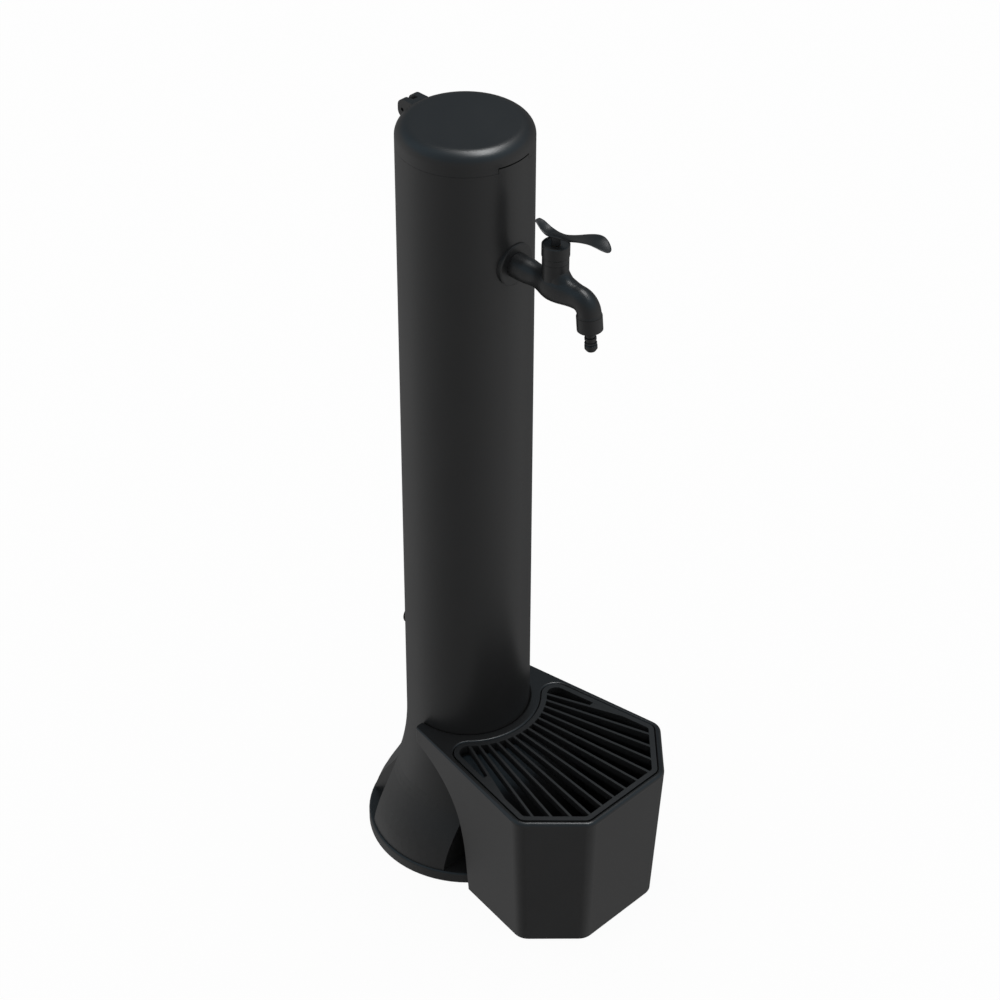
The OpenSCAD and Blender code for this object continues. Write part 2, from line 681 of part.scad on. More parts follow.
// Elbow that runs the front of the neck into the spout
module neck_sweep() translate([0, -stem_y - sweep_r, tap_h + sweep_r]) rotate([0, 90, 0])
    rotate_extrude(angle = 90) translate([sweep_r, 0]) circle(r = sweep_tube_r);
module tap_body() color(tint) difference() {
    union() {
        from_front(tap_h) rotate(-90) rotate_extrude() polygon(concat([[0, body_start]],
            [for (p = tap_profile()) [p[1], p[0]]], [[0, bend_out]]));
        from_front(tap_h) translate([0, 0, -shank_in]) cylinder(r = thread_r, h = shank_in + body_start + over);
        spout_bend(spout_d / 2);
        at_outlet() translate([0, 0, -outlet_neck])
            cylinder(r1 = spout_d / 2 - 0.4, r2 = nut_d / 2 - 0.1, h = 2 * outlet_neck);
        at_outlet() cylinder(r = thread_r - slip, h = outlet_neck + outlet_thread_len);
        translate([0, -stem_y, tap_h]) rotate(45) cylinder(r = neck_d / 2, h = neck_h);
        neck_sweep();
    }
    waterway();
}
module tap_rosette() color(tint) difference() {
    from_front(tap_h) translate([0, 0, -rosette_root])
        chamfered(rosette_d / 2, rosette_root + rosette_t, rosette_edge_w, rosette_edge_h);
    cylinder(r = column_r + slip, h = 2 * column_h, $fn = 180);
    from_front(tap_h) translate([0, 0, -2 * rosette_root]) cylinder(r = thread_r + seam, h = through);
}
module tap_bonnet() color(tint) translate([0, -stem_y, 0]) difference() {
    union() {
        translate([0, 0, bonnet_z]) cylinder(r = neck_d / 2, h = bonnet_foot_h);
        translate([0, 0, bonnet_z + bonnet_foot_h]) rotate_extrude() polygon([
            [0, -over], [neck_d / 2 - bonnet_edge_w, -over], [cap_d / 2, bonnet_edge_h],
            [cap_d / 2, bonnet_h - bonnet_foot_h - seam - bonnet_edge_h],
            [cap_d / 2 - bonnet_edge_w, bonnet_h - bonnet_foot_h - seam], [0, bonnet_h - bonnet_foot_h - seam]
        ]);
        translate([0, 0, spigot_z]) cylinder(r = chamber_r - slip, h = bonnet_z - spigot_z + over);
    }
    translate([0, 0, cup_floor]) cylinder(r = cap_d / 2 - cup_wall, h = cup_depth + over);
    translate([0, 0, spigot_z - over]) cylinder(r = spindle_r + slip, h = bonnet_h + neck_h);
}
module tap_spindle() color(metal) translate([0, -stem_y, 0]) difference() {
    union() {
        translate([0, 0, drive_z + fit]) cylinder(r = drive_r, h = spigot_z - drive_z - 2 * fit);
        translate([0, 0, spigot_z - over]) cylinder(r = spindle_r, h = cup_floor - spigot_z + over);
        translate([0, 0, cup_floor - over]) cylinder(r = spindle_top_r, h = spindle_top - cup_floor + over);
    }
    for (z = o_ring_heights) translate([0, 0, z - o_ring_groove / 2])
        ring(spindle_r + over, spindle_r - 2 * o_ring_r, o_ring_groove);
}
module spindle_o_rings() color(seal) for (z = o_ring_heights)
    translate([0, -stem_y, z]) torus(spindle_r - o_ring_r, o_ring_r);
module disc_ports() for (a = [0, 180]) rotate(a) intersection() {
    translate([0, 0, -over]) ring(disc_r - port_out, port_in, disc_t + 2 * over);
    slab([port_in - fit, disc_r], [-port_w / 2, port_w / 2], [-2 * over, 2 * disc_t]);
}
module turning_disc() color(ceramic) translate([0, -stem_y, turn_bottom + slip]) difference() {
    cylinder(r = disc_r, h = disc_t - 2 * slip);
    disc_ports();
}
module fixed_disc() color(ceramic) translate([0, -stem_y, disc_bottom]) difference() {
    cylinder(r = disc_r, h = disc_t);
    disc_ports();
}
module disc_cage() color(metal) translate([0, -stem_y, disc_bottom]) difference() {
    ring(cage_r, disc_r + fit, spigot_z - disc_bottom - fit);
    translate([0, 0, disc_t + over])
        slab([-cage_window / 2, cage_window / 2], [-2 * cage_r, 2 * cage_r], [0, cage_window_h]);
}
module seat_seal() color(seal) translate([0, -stem_y, seat_plane]) ring(disc_r, passage_r + fit, seal_t);

module tap_handle() color(tint) translate([0, -stem_y, 0]) difference() {
    union() {
        translate([0, 0, lever_z]) lever();
        translate([0, 0, stem_low]) cylinder(r = stem_d / 2, h = lever_z + 1.2 - stem_low);
    }
    translate([0, 0, stem_low - over])
        cylinder(r = spindle_top_r + fit, h = spindle_top + seam - stem_low + over);
    translate([0, 0, grub_z]) rotate([0, 90, 0]) cylinder(r = grub_r, h = stem_d, $fn = 32);
}
module lever() {
    rings = lever_rings();
    last = len(rings) - 1;
    polyhedron(
        points = [for (s = rings) each lever_ring(s)],
        faces = concat(
            [for (i = [0:last - 1], k = [0:lever_sides - 1])
                each lever_facets(i * lever_sides, k, (k + 1) % lever_sides)],
            [[for (k = [0:lever_sides - 1]) k], [for (k = [lever_sides - 1:-1:0]) last * lever_sides + k]]
        )
    );
}
module handle_grub_screw() color(steel) translate([spindle_top_r + fit, -stem_y, grub_z]) rotate([0, 90, 0])
    difference() {
        cylinder(r = grub_r - slip, h = grub_len, $fn = 32);
        translate([0, 0, grub_len / 2]) hex(grub_key, grub_len);
    }

// Nipple's section, measured down from its open end
function nipple_step(r, back) = [r, nipple_len - back];
nipple_profile = [
    [0, -over], [nipple_neck_r, -over], nipple_step(nipple_neck_r, collar_start + collar_drop),
    nipple_step(nipple_collar_r, collar_start), nipple_step(nipple_collar_r, collar_end),
    nipple_step(nipple_body_r, collar_end - collar_drop), nipple_step(nipple_body_r, groove_start),
    nipple_step(groove_r, groove_start), nipple_step(groove_r, groove_end),
    nipple_step(nipple_body_r, groove_end), nipple_step(nipple_ring_r, ring_start),
    nipple_step(nipple_ring_r, ring_end), nipple_step(nipple_body_r - collar_drop, 0), [0, nipple_len]
];
module hose_connector() color(tint) at_outlet() difference() {
    union() {
        translate([0, 0, outlet_neck + seam]) chamfered(nut_d / 2, nut_len - seam, nut_edge, nut_edge);
        translate([0, 0, outlet_neck + nut_len]) rotate_extrude() polygon(nipple_profile);
    }
    cylinder(r = thread_r + slip, h = connector_seat + connector_washer_t + fit);
    cylinder(r = nipple_neck_r - nipple_wall, h = through);
}
module connector_washer() color(seal) at_outlet() translate([0, 0, connector_seat])
    ring(thread_r - 2 * fit, nipple_neck_r - nipple_wall, connector_washer_t);
module connector_o_ring() color(seal) at_outlet()
    translate([0, 0, outlet_neck + nut_len + nipple_len - (groove_start + groove_end) / 2])
        torus(groove_r + connector_o_ring_r + slip, connector_o_ring_r);

module wall_washer() color(seal) translate([0, -pad_face, tap_h]) rotate([-90, 0, 0])
    ring(pad_r - 1.5, thread_r + fit, washer_t);
module wall_nut() color(metal) translate([0, -pad_face + washer_t, tap_h]) rotate([-90, 0, 0])
    hex_nut(lock_nut_af, thread_r + slip, lock_nut_t);
module inner_elbow() color(metal) difference() {
    union() {
        translate([0, -elbow_socket_start, tap_h]) rotate([-90, 0, 0])
            cylinder(r = elbow_r, h = elbow_socket_start - hose_y);
        translate([0, -hose_y, tap_h]) sphere(r = elbow_r);
        translate([0, -hose_y, tap_h - elbow_leg]) cylinder(r = elbow_leg_r, h = elbow_leg);
        translate([0, -hose_y, elbow_end_z]) cylinder(r = thread_r, h = elbow_leg);
    }
    translate([0, -elbow_socket_start - over, tap_h]) rotate([-90, 0, 0])
        cylinder(r = thread_r + slip, h = elbow_socket_start - inlet_shank_in + over + seam);
    translate([0, -elbow_socket_start, tap_h]) rotate([-90, 0, 0])
        cylinder(r = bore_d / 2, h = elbow_socket_start - hose_y);
    translate([0, -hose_y, elbow_end_z - over]) cylinder(r = bore_d / 2, h = tap_h - elbow_end_z + 2 * over);
}

module hose_ends() {
    translate([0, -hose_y, upper_end_z]) children();
    from_axis_back(lower_end_y, inlet_h) children();
}
module riser_hose() color(steel) difference() {
    hose_run(hose_d / 2, 0);
    hose_run(hose_bore_d / 2, over);
}
module hose_run(r, more) {
    translate([0, -hose_y, inlet_h + hose_bend_r - over])
        cylinder(r = r - slip, h = upper_end_z + hose_overlap - inlet_h - hose_bend_r + over + more, $fn = 48);
    from_axis_back(bend_start_y - over, inlet_h)
        cylinder(r = r - slip, h = lower_end_y + hose_overlap - bend_start_y + over + more, $fn = 48);
    translate([0, bend_start_y, inlet_h + hose_bend_r]) rotate([-90, 0, -90])
        rotate_extrude(angle = 90) translate([hose_bend_r, 0]) circle(r = r, $fn = 48);
}
module hose_ferrules() color(steel) hose_ends() difference() {
    rotate_extrude() polygon([
        [0, 0], [ferrule_r, 0], [ferrule_r, ferrule_len], [ferrule_flange_r, ferrule_len],
        [ferrule_flange_r, ferrule_len + ferrule_flange_t], [0, ferrule_len + ferrule_flange_t]
    ]);
    translate([0, 0, -over]) cylinder(r = hose_d / 2 + fit, h = ferrule_len + over);
    cylinder(r = hose_bore_d / 2, h = through);
}
module hose_nuts() color(metal) hose_ends() difference() {
    translate([0, 0, hose_nut_low]) hex(hose_nut_af, hose_nut_high - hose_nut_low);
    cylinder(r = ferrule_r + 2 * fit, h = through);
    translate([0, 0, ferrule_len - fit]) cylinder(r = thread_r + slip, h = through);
}
module hose_washers() color(seal) hose_ends() translate([0, 0, ferrule_len + ferrule_flange_t + slip])
    ring(ferrule_flange_r, hose_bore_d / 2, hose_washer_t);

module inlet_fitting() color(metal) from_axis_back(0, inlet_h) difference() {
    union() {
        translate([0, 0, inlet_shank_in])
            cylinder(r = thread_r, h = column_r + gasket_t + over - inlet_shank_in);
        translate([0, 0, column_r + gasket_t]) hex(lock_nut_af, inlet_hex_t);
        translate([0, 0, column_r + gasket_t + inlet_hex_t - over])
            cylinder(r = inlet_thread_d / 2, h = inlet_thread_len + over);
    }
    translate([0, 0, inlet_shank_in - over]) cylinder(r = bore_d / 2, h = through);
}
module inlet_gasket() color(seal) difference() {
    from_axis_back(column_r - 3 * gasket_t, inlet_h) ring(lock_nut_af / 2, thread_r + fit, 4 * gasket_t);
    cylinder(r = column_r + slip, h = 2 * column_h, $fn = 180);
}
module inlet_lock_nut() color(metal) from_axis_back(pad_face - lock_nut_t, inlet_h)
    hex_nut(lock_nut_af, thread_r + slip, lock_nut_t);

column();
lid();
lid_hinge_pin();
bucket();
grate();
tap_body();
tap_rosette();
tap_bonnet();
tap_handle();
handle_grub_screw();
tap_spindle();
spindle_o_rings();
turning_disc();
fixed_disc();
disc_cage();
seat_seal();
hose_connector();
connector_washer();
connector_o_ring();
wall_washer();
wall_nut();
inner_elbow();
riser_hose();
hose_ferrules();
hose_nuts();
hose_washers();
inlet_fitting();
inlet_gasket();
inlet_lock_nut();
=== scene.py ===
"""Looks of a free-standing garden fountain: dark moulded column, lid, drip bucket and bib tap.

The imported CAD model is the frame. This script dresses its nodes, and builds the pieces whose
soft edges and cast blends the solids leave plain. Lengths are in metres.
"""

import logging
import math
from dataclasses import dataclass, field
from enum import Enum
from typing import Callable, ClassVar, Sequence

import bmesh
import bpy
from mathutils import Matrix, Vector


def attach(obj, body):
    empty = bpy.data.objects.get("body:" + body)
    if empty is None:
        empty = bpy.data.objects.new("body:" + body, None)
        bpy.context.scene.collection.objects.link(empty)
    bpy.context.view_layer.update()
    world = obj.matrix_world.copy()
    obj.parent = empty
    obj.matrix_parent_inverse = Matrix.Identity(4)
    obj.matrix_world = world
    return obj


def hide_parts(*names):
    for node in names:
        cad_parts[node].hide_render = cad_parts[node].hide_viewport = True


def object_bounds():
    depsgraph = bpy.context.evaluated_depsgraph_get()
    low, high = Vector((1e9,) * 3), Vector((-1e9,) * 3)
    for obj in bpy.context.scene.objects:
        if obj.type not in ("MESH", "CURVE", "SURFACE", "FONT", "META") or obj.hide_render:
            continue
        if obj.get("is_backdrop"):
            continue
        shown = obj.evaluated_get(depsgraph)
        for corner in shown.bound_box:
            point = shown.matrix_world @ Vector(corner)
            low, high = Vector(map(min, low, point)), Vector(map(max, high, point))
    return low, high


LOG = logging.getLogger("fountain")
MM = 0.001

# Points closer than this are merged into one
MERGE = 0.004 * MM
# A cut takes points this near as lying on it
CUT_SLIP = 0.001 * MM
# A point this near to a level or a radius counts as on it
NEAR = 0.05 * MM
# Edges from this angle up are rounded, with this many faces across
ROUND_ANGLE = 40.0
ROUND_FACES = 2
# A wave texture of scale 1 repeats about once in this length
WAVE_LENGTH = 0.3
# Share of the fine grain in the changes of gloss
FINE_GLOSS = 0.35
WHITE = (1.0, 1.0, 1.0, 1.0)

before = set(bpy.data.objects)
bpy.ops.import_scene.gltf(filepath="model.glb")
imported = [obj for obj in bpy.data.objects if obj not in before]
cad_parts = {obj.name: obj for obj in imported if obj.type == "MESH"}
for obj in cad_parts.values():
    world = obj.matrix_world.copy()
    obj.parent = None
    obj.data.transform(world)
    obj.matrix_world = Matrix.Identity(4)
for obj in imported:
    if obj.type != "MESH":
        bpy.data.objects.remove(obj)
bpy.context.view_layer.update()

Socket = bpy.types.NodeSocket
Node = bpy.types.Node
Group = bpy.types.NodeTree
Mesh = bmesh.types.BMesh


class Grain(Enum):
    """How the skin of a piece was left by its tool."""

    SATIN = "satin"
    FINE = "fine"
    TURNED = "turned"
    WOVEN = "woven"


class Sheet:
    """Short hand for adding and joining nodes in one node tree."""

    def __init__(self, tree: Group) -> None:
        """Keeps the tree that the nodes go into.

        Args:
            tree: The node tree of a material, world or group.
        """
        self.tree = tree

    def add(self, kind: str, **settings: object) -> Node:
        """Adds a node and sets its properties and unlinked inputs.

        Args:
            kind: The node's type without its "ShaderNode" prefix.
            **settings: Properties by name, and input values by the input's name with
                spaces written as underscores.

        Returns:
            The new node.
        """
        node = self.tree.nodes.new("ShaderNode" + kind)
        for key, value in settings.items():
            if hasattr(node, key):
                setattr(node, key, value)
            else:
                node.inputs[key.replace("_", " ")].default_value = value
        return node

    def join(self, source: Socket, target: Socket) -> None:
        """Links an output to an input."""
        self.tree.links.new(source, target)

    def maths(self, operation: str, *values: Socket | float) -> Socket:
        """Adds a Math node.

        Args:
            operation: The node's operation, such as "MULTIPLY".
            *values: Its inputs, each a socket to link or a number.

        Returns:
            The node's output.
        """
        node = self.add("Math", operation=operation)
        for slot, value in zip(node.inputs, values):
            if isinstance(value, Socket):
                self.join(value, slot)
            else:
                slot.default_value = value
        return node.outputs[0]

    def spread(
        self, value: Socket, low: float, high: float, start: float = 0.0, end: float = 1.0,
        smooth: bool = False,
    ) -> Socket:
        """Maps a value from start..end onto low..high.

        Args:
            value: The output to map.
            low: The result at start.
            high: The result at end.
            start: The lower end of the value's range.
            end: The upper end of the value's range.
            smooth: Whether the change starts and ends gently.

        Returns:
            The mapped output.
        """
        node = self.add("MapRange", From_Min=start, From_Max=end, To_Min=low, To_Max=high)
        node.interpolation_type = "SMOOTHSTEP" if smooth else "LINEAR"
        self.join(value, node.inputs["Value"])
        return node.outputs[0]

    def along(self, direction: Socket, axis: Sequence[float]) -> Socket:
        """Measures how far a direction points along an axis.

        Args:
            direction: The direction.
            axis: The axis, of unit length.

        Returns:
            The output, from -1 to 1.
        """
        node = self.add("VectorMath", operation="DOT_PRODUCT")
        node.inputs[1].default_value = axis
        self.join(direction, node.inputs[0])
        return node.outputs["Value"]

    def tint(self, share: Socket, first: Sequence[float], second: Sequence[float]) -> Socket:
        """Mixes two colours.

        Args:
            share: The share of the second colour.
            first: The first colour with its alpha.
            second: The second colour with its alpha.

        Returns:
            The mixed colour.
        """
        node = self.add("Mix", data_type="RGBA")
        colours = [socket for socket in node.inputs if socket.type == "RGBA"]
        colours[0].default_value = first
        colours[1].default_value = second
        self.join(share, node.inputs["Factor"])
        return next(socket for socket in node.outputs if socket.type == "RGBA")

    def mix(self, share: Socket, first: Node, second: Node) -> Node:
        """Mixes two shaders.

        Args:
            share: The share of the second shader.
            first: The node of the first shader.
            second: The node of the second shader.

        Returns:
            The node of the mix.
        """
        node = self.add("MixShader")
        self.join(share, node.inputs[0])
        self.join(first.outputs[0], node.inputs[1])
        self.join(second.outputs[0], node.inputs[2])
        return node


def blank_sheet(owner: bpy.types.Material | bpy.types.World) -> Sheet:
    """Empties the node tree of a material or a world.

    Args:
        owner: The material or the world.

    Returns:
        A sheet for its tree.
    """
    owner.use_nodes = True
    owner.node_tree.nodes.clear()
    return Sheet(owner.node_tree)


def new_group(
    name: str, inputs: dict[str, float], outputs: Sequence[str]
) -> tuple[Group, Sheet, Node, Node]:
    """Starts a shader node group, whose sockets all hold plain numbers.

    Args:
        name: The group's name.
        inputs: The default of each input by its name.
        outputs: The name of each output.

    Returns:
        The group, a sheet for it, its input node and its output node.
    """
    group = bpy.data.node_groups.new(name, "ShaderNodeTree")
    for label, value in inputs.items():
        socket = group.interface.new_socket(label, in_out="INPUT", socket_type="NodeSocketFloat")
        socket.default_value = value
    for label in outputs:
        group.interface.new_socket(label, in_out="OUTPUT", socket_type="NodeSocketFloat")
    return group, Sheet(group), group.nodes.new("NodeGroupInput"), group.nodes.new("NodeGroupOutput")


def moulding_grain() -> Group:
    """Builds the group for the skin of a moulding.

    Returns:
        A group with the inputs Grain Size, Flow Size and Fleck, in metres and as a share,
        and the outputs Height, Tone and Gloss, each about 0 to 1.
    """
    group, sheet, start, end = new_group(
        "moulding_grain",
        {"Grain Size": 0.0005, "Flow Size": 0.08, "Fleck": 0.3},
        ("Height", "Tone", "Gloss"),
    )
    place = sheet.add("TexCoord").outputs["Object"]
    fine = sheet.add("TexNoise", Detail=3.0, Roughness=0.6)
    flow = sheet.add("TexNoise", Detail=2.0, Roughness=0.45, Distortion=0.4)
    pits = sheet.add("TexVoronoi", feature="F1")
    for node, size in ((fine, "Grain Size"), (flow, "Flow Size"), (pits, "Grain Size")):
        sheet.join(place, node.inputs["Vector"])
        sheet.join(sheet.maths("DIVIDE", 1.0, start.outputs[size]), node.inputs["Scale"])
    pit_depth = sheet.maths("MULTIPLY", pits.outputs["Distance"], start.outputs["Fleck"])
    sheet.join(sheet.maths("SUBTRACT", fine.outputs["Fac"], pit_depth), end.inputs["Height"])
    sheet.join(flow.outputs["Fac"], end.inputs["Tone"])
    blend = sheet.maths("MULTIPLY_ADD", fine.outputs["Fac"], FINE_GLOSS, flow.outputs["Fac"])
    sheet.join(sheet.maths("DIVIDE", blend, 1.0 + FINE_GLOSS), end.inputs["Gloss"])
    return group


def turning_marks() -> Group:
    """Builds the group for turned metal.

    Returns:
        A group with the input Pitch, in metres, and the outputs Height and Tone, 0 to 1.
    """
    group, sheet, start, end = new_group("turning_marks", {"Pitch": 0.0004}, ("Height", "Tone"))
    place = sheet.add("TexCoord").outputs["Object"]
    lines = sheet.add("TexWave", wave_type="BANDS", bands_direction="Y", Distortion=1.2, Detail=2.0)
    cloud = sheet.add("TexNoise", Scale=90.0, Detail=3.0)
    sheet.join(place, lines.inputs["Vector"])
    sheet.join(place, cloud.inputs["Vector"])
    sheet.join(sheet.maths("DIVIDE", WAVE_LENGTH, start.outputs["Pitch"]), lines.inputs["Scale"])
    sheet.join(lines.outputs["Fac"], end.inputs["Height"])
    sheet.join(cloud.outputs["Fac"], end.inputs["Tone"])
    return group


def braid_with_painted_shade() -> Group:
    """Builds the group for a hose's wire braid: two sets of strands that cross, with painted shade between
    them.

    Returns:
        A group with the input Pitch, in metres, and the outputs Height and Tone, 0 to 1. Tone follows
        Height: painted shade between the strands, painted light on their crowns.
    """
    lean, tone = math.radians(40.0), 0.9
    group, sheet, start, end = new_group("braid_with_painted_shade", {"Pitch": 0.0022}, ("Height", "Tone"))
    place = sheet.add("TexCoord").outputs["Object"]
    strands = []
    for angle in (lean, -lean):
        turned = sheet.add("VectorRotate", rotation_type="X_AXIS", Angle=angle)
        wave = sheet.add("TexWave", wave_type="BANDS", bands_direction="Z", Distortion=0.2)
        sheet.join(place, turned.inputs["Vector"])
        sheet.join(turned.outputs["Vector"], wave.inputs["Vector"])
        sheet.join(sheet.maths("DIVIDE", WAVE_LENGTH, start.outputs["Pitch"]), wave.inputs["Scale"])
        strands.append(wave.outputs["Fac"])
    top = sheet.maths("MAXIMUM", *strands)
    sheet.join(top, end.inputs["Height"])
    # Painted shade and light: the tone is the strands' height, darker between them and lighter on their
    # crowns.
    sheet.join(sheet.maths("MULTIPLY", top, tone), end.inputs["Tone"])
    return group


@dataclass(frozen=True)
class Finish:
    """One material of the fountain, from its colour to the depth of its grain."""

    name: str
    colour: tuple[float, float, float]
    roughness: float
    grain: Grain = Grain.FINE
    grain_size: float = 0.6 * MM
    grain_depth: float = 0.02 * MM
    tone: float = 0.12
    gloss_spread: float = 0.06
    metallic: float = 0.0
    ior: float = 1.45
    specular: float = 0.5

    flecks: ClassVar[dict[Grain, float]] = {Grain.SATIN: 0.15, Grain.FINE: 0.5}

    def build(self, groups: dict[str, Group]) -> bpy.types.Material:
        """Makes the material.

        Args:
            groups: The shared node groups by name.

        Returns:
            The finished material.
        """
        material = bpy.data.materials.new(self.name)
        sheet = blank_sheet(material)
        shader = sheet.add("BsdfPrincipled", Metallic=self.metallic, IOR=self.ior)
        shader.inputs["Specular IOR Level"].default_value = self.specular
        sheet.join(shader.outputs[0], sheet.add("OutputMaterial").inputs["Surface"])
        height, tone, gloss = self.pattern(sheet, groups)
        deep, light = (
            (*(part * (1 + change) for part in self.colour), 1.0) for change in (-self.tone, self.tone)
        )
        sheet.join(sheet.tint(tone, deep, light), shader.inputs["Base Color"])
        low, high = self.roughness - self.gloss_spread, self.roughness + self.gloss_spread
        sheet.join(sheet.spread(gloss, low, high), shader.inputs["Roughness"])
        bump = sheet.add("Bump", Strength=1.0, Distance=self.grain_depth)
        sheet.join(height, bump.inputs["Height"])
        sheet.join(bump.outputs["Normal"], shader.inputs["Normal"])
        return material

    def pattern(self, sheet: Sheet, groups: dict[str, Group]) -> tuple[Socket, Socket, Socket]:
        """Places the group that this grain needs.

        Args:
            sheet: The material's sheet.
            groups: The shared node groups by name.

        Returns:
            The outputs for height, tone and gloss.
        """
        if self.grain in self.flecks:
            skin = sheet.add("Group", node_tree=groups["moulding_grain"], Grain_Size=self.grain_size)
            skin.inputs["Fleck"].default_value = self.flecks[self.grain]
            return skin.outputs["Height"], skin.outputs["Tone"], skin.outputs["Gloss"]
        group = groups["turning_marks" if self.grain is Grain.TURNED else "braid_with_painted_shade"]
        marks = sheet.add("Group", node_tree=group, Pitch=self.grain_size)
        return marks.outputs["Height"], marks.outputs["Tone"], marks.outputs["Tone"]


class Palette:
    """Every finish of the fountain, each made once."""

    finishes = (
        Finish("column_moulding", (0.0105, 0.0107, 0.011), 0.36),
        Finish("lid_moulding", (0.0105, 0.0108, 0.0112), 0.36),
        Finish("bucket_moulding", (0.0113, 0.0114, 0.0117), 0.32, specular=0.44),
        Finish("grate_moulding", (0.009, 0.0093, 0.0097), 0.45, specular=0.45),
        Finish(
            "tap_moulding", (0.0085, 0.0088, 0.0092), 0.39, Grain.SATIN,
            grain_size=0.4 * MM, grain_depth=0.004 * MM, tone=0.1, gloss_spread=0.04,
        ),
        # The lever's copy of the tap plastic has less specular and a lighter, bluer colour, which is
        # painted reflection in place of the gloss taken off.
        Finish(
            "lever_moulding_painted_reflection", (0.0125, 0.0135, 0.0145), 0.36, Grain.SATIN,
            grain_size=0.4 * MM, grain_depth=0.004 * MM, tone=0.1, gloss_spread=0.04, specular=0.3,
        ),
        Finish(
            "blackened_brass", (0.035, 0.034, 0.033), 0.42, Grain.TURNED,
            grain_size=0.5 * MM, tone=0.15, gloss_spread=0.08, metallic=1.0,
        ),
        Finish(
            "yellow_brass", (0.62, 0.43, 0.17), 0.3, Grain.TURNED,
            grain_size=0.5 * MM, gloss_spread=0.08, metallic=1.0,
        ),
        Finish(
            "plain_steel", (0.55, 0.56, 0.58), 0.32, Grain.TURNED,
            tone=0.1, gloss_spread=0.08, metallic=1.0,
        ),
        # On the braid the tone is the strength of its painted shade between the strands and painted light
        # on their crowns.
        Finish(
            "braided_steel", (0.42, 0.43, 0.45), 0.34, Grain.WOVEN,
            grain_size=2.4 * MM, grain_depth=0.3 * MM, tone=0.35, gloss_spread=0.1, metallic=1.0,
        ),
        Finish(
            "black_rubber", (0.016, 0.016, 0.017), 0.7, Grain.SATIN,
            grain_size=0.5 * MM, grain_depth=0.03 * MM, tone=0.2, gloss_spread=0.08,
        ),
        Finish(
            "white_ceramic", (0.78, 0.77, 0.73), 0.16, Grain.SATIN,
            grain_size=0.9 * MM, grain_depth=0.004 * MM, tone=0.03, gloss_spread=0.04,
        ),
    )

    def __init__(self) -> None:
        """Builds the shared groups and then each finish."""
        groups = {group.name: group for group in (moulding_grain(), turning_marks(), braid_with_painted_shade())}
        self.made = {finish.name: finish.build(groups) for finish in self.finishes}

    def dress(self, piece: bpy.types.Object, finish: str) -> None:
        """Gives a piece one finish.

        Args:
            piece: The object to dress.
            finish: The finish's name.
        """
        if not piece.data.materials:
            piece.data.materials.append(None)
        for slot in piece.material_slots:
            slot.link = "OBJECT"
            slot.material = self.made[finish]


@dataclass
class Assembly:
    """A sub-assembly, with the finish of each CAD node that is shown as it is."""

    palette: Palette
    nodes: dict[str, str] = field(default_factory=dict)

    def dress_nodes(self) -> None:
        """Gives each of the sub-assembly's CAD nodes its finish."""
        for node, finish in self.nodes.items():
            self.palette.dress(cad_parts[node], finish)
            LOG.info("dressed %s as %s", node, finish)

    def place(self, piece: bpy.types.Object, node: str, body: str, finish: str, slot: str) -> None:
        """Finishes a new piece: its material and body, and hides the CAD node it stands for.

        Args:
            piece: The new object, in place.
            node: The CAD node that the piece stands for.
            body: The body that the piece rides on.
            finish: The finish's name.
            slot: The record's material slot; not used.
        """
        self.palette.dress(piece, finish)
        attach(piece, body)
        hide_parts(node)
        LOG.info("built %s with %d faces", piece.name, len(piece.data.polygons))


def new_object(name: str, work: Mesh) -> bpy.types.Object:
    """Makes an object of a finished mesh and adds it to the scene.

    Args:
        name: The object's name.
        work: The mesh, which is freed.

    Returns:
        The new object at the origin.
    """
    mesh = bpy.data.meshes.new(name)
    work.to_mesh(mesh)
    work.free()
    made = bpy.data.objects.new(name, mesh)
    bpy.context.scene.collection.objects.link(made)
    return made


def skin_of(node: str, name: str, shape: Callable[[Mesh], None]) -> bpy.types.Object:
    """Copies a CAD node's skin into a new piece and shapes it.

    Args:
        node: The CAD node.
        name: The new piece's name.
        shape: The method that shapes the merged copy.

    Returns:
        The new object at the origin.
    """
    work = bmesh.new()
    work.from_mesh(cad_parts[node].data)
    bmesh.ops.remove_doubles(work, verts=work.verts, dist=MERGE)
    shape(work)
    return new_object(name, work)


def cut_across(work: Mesh, place: Sequence[float], facing: Sequence[float]) -> None:
    """Cuts a mesh along a plane and keeps both sides.

    Args:
        work: The mesh.
        place: A point on the plane.
        facing: The plane's normal.
    """
    bmesh.ops.bisect_plane(
        work, geom=work.verts[:] + work.edges[:] + work.faces[:], dist=CUT_SLIP,
        plane_co=place, plane_no=facing,
    )


def shade(work: Mesh, sharp_angle: float) -> None:
    """Smooths every face and marks the edges past an angle as sharp.

    Args:
        work: The mesh.
        sharp_angle: The angle in degrees from which an edge stays sharp.
    """
    for face in work.faces:
        face.smooth = True
    limit = math.radians(sharp_angle)
    for edge in work.edges:
        edge.smooth = len(edge.link_faces) == 2 and edge.calc_face_angle(math.pi) < limit


def soften(piece: bpy.types.Object, width: float) -> None:
    """Rounds a piece's edges.

    Args:
        piece: The object.
        width: The bevel's width.
    """
    bevel = piece.modifiers.new("edge", "BEVEL")
    bevel.width = width
    bevel.segments = ROUND_FACES
    bevel.limit_method = "ANGLE"
    bevel.angle_limit = math.radians(ROUND_ANGLE)
    bevel.use_clamp_overlap = True
    keep_flats(piece)


def keep_flats(piece: bpy.types.Object) -> None:
    """Weights the normals by area, so that flat faces stay flat beside rounded edges.

    Args:
        piece: The object.
    """
    weights = piece.modifiers.new("flats", "WEIGHTED_NORMAL")
    weights.mode = "FACE_AREA"
    weights.keep_sharp = True


